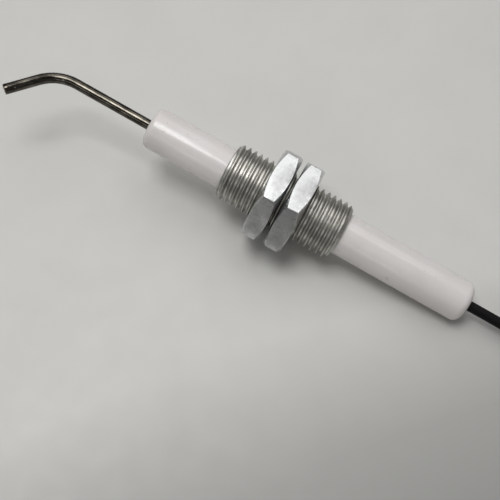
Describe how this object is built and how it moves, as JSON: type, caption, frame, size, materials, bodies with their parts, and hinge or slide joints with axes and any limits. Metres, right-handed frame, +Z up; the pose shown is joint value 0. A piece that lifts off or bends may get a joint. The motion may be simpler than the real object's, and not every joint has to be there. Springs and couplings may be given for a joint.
{
  "type": "ignition electrode",
  "caption": "Ignition electrode: a bent rod in a ceramic insulator, with a threaded steel bush and lock nuts, and a coiled high-voltage lead with a push-on terminal.",
  "frame": {"origin": "under the middle of the electrode's box, lead left out, on the surface that it lies on", "axes": "+X from the spark tip towards the lead, +Y away from the side that the rod's leg is bent to, +Z up"},
  "size_m": [0.1788, 0.0358, 0.0222],
  "materials": {
    "rod": "dark oxidised heat-resisting wire, satin, with small bright nicks",
    "insulator": "dense white alumina with a faint pink cast, smooth glaze",
    "bush": "bright zinc-plated steel, cut thread",
    "nut": "bright zinc-plated steel, turned faces",
    "cement": "matt grey-beige refractory cement",
    "collar": "plain turned steel",
    "ferrule": "plain brass, crimped",
    "conductor": "bare stranded copper",
    "splice_insulation": "shrunk insulation, satin",
    "potting": "grey silicone, satin",
    "lead": "matt black silicone jacket",
    "tie": "natural nylon",
    "terminal": "tinned brass strip",
    "terminal_insulation": "red silicone sleeve, satin"
  },
  "bodies": {
    "electrode": {"electrode_rod": "rod", "ceramic_insulator": "insulator", "threaded_bush": "bush", "front_bush_cement": "cement", "rear_bush_cement": "cement", "front_seal_cement": "cement", "rod_retaining_collar": "collar", "splice_ferrule": "ferrule", "splice_conductor": "conductor", "splice_sleeve": "splice_insulation", "rear_potting": "potting", "lead_run": "lead", "lead_coil": "lead", "lead_tail": "lead", "coil_tie": "tie", "terminal_conductor": "conductor", "terminal_receptacle": "terminal", "terminal_sleeve": "terminal_insulation"},
    "front_nut": {"front_lock_nut": "nut"},
    "rear_nut": {"rear_lock_nut": "nut"}
  },
  "joints": [
    {"name": "front_nut_travel", "type": "slide", "parent": "electrode", "child": "front_nut", "axis": [0.9914, 0, -0.1306], "range_m": [-0.009, 0]},
    {"name": "rear_nut_travel", "type": "slide", "parent": "electrode", "child": "rear_nut", "axis": [0.9914, 0, -0.1306], "range_m": [0, 0.009]}
  ]
}
